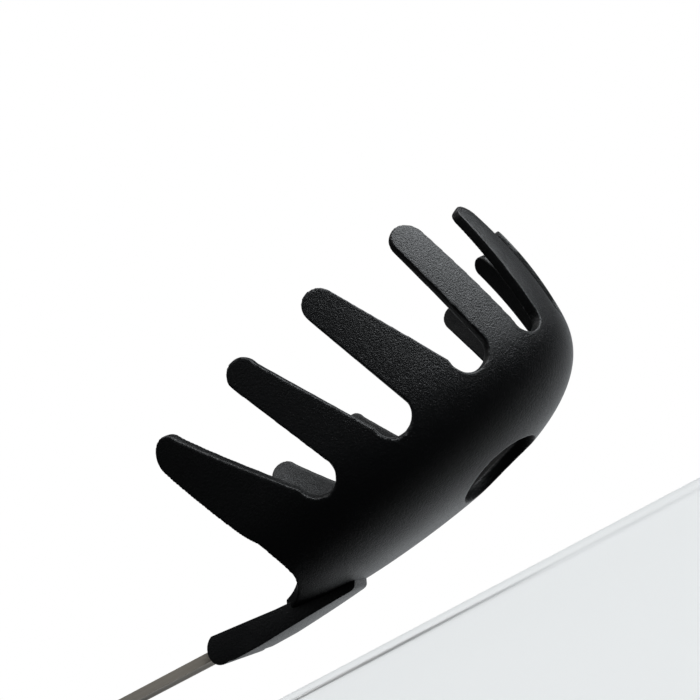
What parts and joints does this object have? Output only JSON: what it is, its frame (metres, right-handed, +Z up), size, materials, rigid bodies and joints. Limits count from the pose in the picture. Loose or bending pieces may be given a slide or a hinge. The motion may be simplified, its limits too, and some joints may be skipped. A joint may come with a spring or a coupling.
{
  "type": "pasta server",
  "caption": "Black nylon pasta server: oval comb bowl with upright fingers and a drain hole, on a flat stainless shaft with a riveted nylon grip.",
  "frame": {"origin": "on the table, under the middle of the tool's length and on its middle plane", "axes": "+X towards the front of the bowl, +Z up with the tool lying on its back, +Y to the left of the bowl"},
  "size_m": [0.3198, 0.0672, 0.0592],
  "materials": {
    "bowl_nylon": "fine matte grain",
    "grip_nylon": "fine matte grain",
    "stainless": "brushed along its length, sharp edges",
    "rivet_steel": "satin"
  },
  "bodies": {
    "root": {"head": "bowl_nylon", "shaft": "stainless", "grip_scale_upper": "grip_nylon", "grip_scale_lower": "grip_nylon", "rivet_1": "rivet_steel", "rivet_2": "rivet_steel", "rivet_3": "rivet_steel", "hanging_ferrule": "rivet_steel"}
  },
  "joints": []
}
